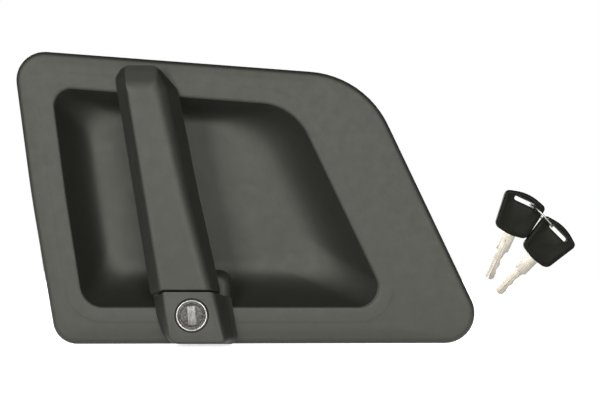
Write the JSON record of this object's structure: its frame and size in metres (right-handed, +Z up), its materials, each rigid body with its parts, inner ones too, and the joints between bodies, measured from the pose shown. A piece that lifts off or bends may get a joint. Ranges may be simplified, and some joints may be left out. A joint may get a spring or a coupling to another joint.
{
  "type": "car door handle",
  "caption": "Pull-type exterior door handle of a truck cab: plate with a hand pocket, leaning bar grip, key lock and keys on a ring.",
  "frame": {"origin": "on the door skin plane, y = 0 where the plate's rim meets the skin, at the middle of the four studs beside the grip", "axes": "+X to the right along the door seen from outside, +Y into the door, +Z up the door"},
  "size_m": [0.3919, 0.0815, 0.2054],
  "materials": {
    "grey_moulding": "fine grained satin, dark grey",
    "black_moulding": "fine grained, black",
    "foam": "closed-cell foam",
    "black_rubber": "smooth moulded rubber",
    "zinc_plated_steel": "zinc plated",
    "spring_steel": "oiled spring steel",
    "cast_zinc": "as-cast zinc alloy",
    "bush_polymer": "plain natural polymer",
    "bright_ring": "bright polished",
    "lock_face_metal": "dull worn",
    "shutter_steel": "ribbed, dull",
    "plug_brass": "machined",
    "key_black": "moulded, satin black",
    "key_nickel": "nickel plated, satin",
    "ring_wire": "bright wire"
  },
  "bodies": {
    "root": {"plate": "grey_moulding", "pocket_bowl": "grey_moulding", "lock_block": "grey_moulding", "plate_gasket": "foam", "mounting_studs": "zinc_plated_steel", "edge_clip": "spring_steel", "pivot_pin": "zinc_plated_steel", "pivot_clips": "spring_steel", "grip_spring": "spring_steel", "grip_bumpers": "black_rubber", "mechanism_bracket": "zinc_plated_steel", "bracket_screws": "zinc_plated_steel", "crank_pin": "zinc_plated_steel", "crank_spring": "spring_steel", "crank_clip": "spring_steel", "lock_cover": "grey_moulding", "cover_screws": "zinc_plated_steel", "lock_housing": "cast_zinc", "lock_bezel": "bright_ring", "lock_nut": "zinc_plated_steel"},
    "grip": {"grip_cover": "grey_moulding", "grip_back": "black_moulding", "grip_arm": "cast_zinc", "grip_screws": "spring_steel", "pivot_bushes": "bush_polymer"},
    "crank": {"bell_crank": "zinc_plated_steel"},
    "lock_plug_body": {"lock_face": "lock_face_metal", "lock_shutter": "shutter_steel", "lock_plug": "plug_brass", "lock_wafers": "plug_brass", "lock_clip": "spring_steel", "lock_lever": "zinc_plated_steel", "lock_lever_nut": "zinc_plated_steel"},
    "key_set": {"key_bow_1": "key_black", "key_blade_1": "key_nickel", "key_bow_2": "key_black", "key_blade_2": "key_nickel", "key_ring": "ring_wire"}
  },
  "joints": [
    {"name": "grip_pull", "type": "hinge", "parent": "root", "child": "grip", "pos_m": [-0.003, 0.009, 0.0885], "axis": [-0.9785, 0, -0.2062], "range_deg": [0, 12], "stiffness_Nm_per_rad": 2, "springref_deg": -11.46},
    {"name": "crank_turn", "type": "hinge", "parent": "root", "child": "crank", "pos_m": [0.02268, 0.045, 0.08159], "axis": [0, -1, 0], "range_deg": [0, 18], "stiffness_Nm_per_rad": 0.2, "springref_deg": -11.46},
    {"name": "lock_turn", "type": "hinge", "parent": "root", "child": "lock_plug_body", "pos_m": [0.0328, -0.03, -0.0777], "axis": [0, -1, 0], "range_deg": [-75, 75]},
    {"name": "key_set_lift", "type": "slide", "parent": "root", "child": "key_set", "axis": [0, -1, 0], "range_m": [0, 0.03]}
  ],
  "couplings": [
    {"joint": "crank_turn", "follows": "grip_pull", "ratio": 1.5}
  ]
}
